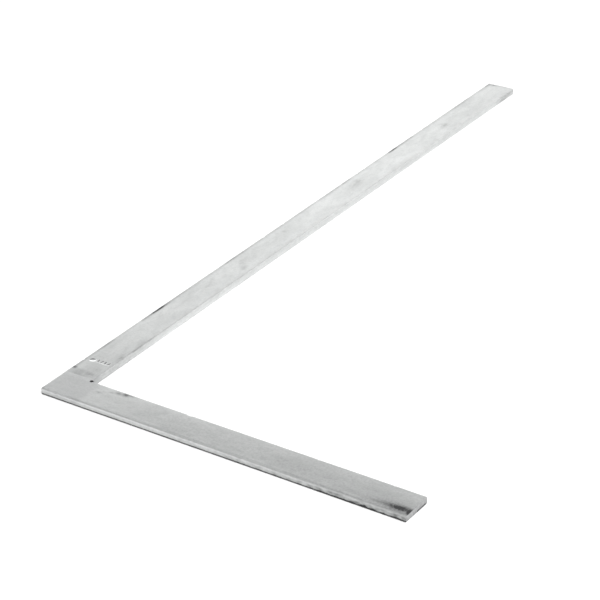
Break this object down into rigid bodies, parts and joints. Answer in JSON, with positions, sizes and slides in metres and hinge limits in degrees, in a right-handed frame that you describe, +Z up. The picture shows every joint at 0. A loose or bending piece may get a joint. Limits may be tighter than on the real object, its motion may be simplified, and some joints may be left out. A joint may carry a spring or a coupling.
{
  "type": "flat steel square",
  "caption": "Flat L-shaped steel square with unequal legs, for marking out and checking right angles in metalwork and building.",
  "frame": {"origin": "on the lower face, where the centre lines of the two blades cross, 12.5 mm in from both outer edges", "axes": "+X along the short leg away from the corner, +Y along the long leg away from the corner, +Z up through the thickness"},
  "size_m": [0.3, 0.6, 0.005],
  "materials": {
    "long_blade": "mild steel flat bar with a thin, dull, light grey zinc coat, mottled along its length",
    "short_blade": "mild steel flat bar with a thin, dull, light grey zinc coat, a little darker and streaked",
    "corner_weld_top": "steel weld metal ground flush, under the same zinc coat",
    "corner_weld_bottom": "steel weld metal ground flush, under the same zinc coat"
  },
  "bodies": {
    "root": {"long_blade": "long_blade", "short_blade": "short_blade", "corner_weld_top": "corner_weld_top", "corner_weld_bottom": "corner_weld_bottom"}
  },
  "joints": []
}
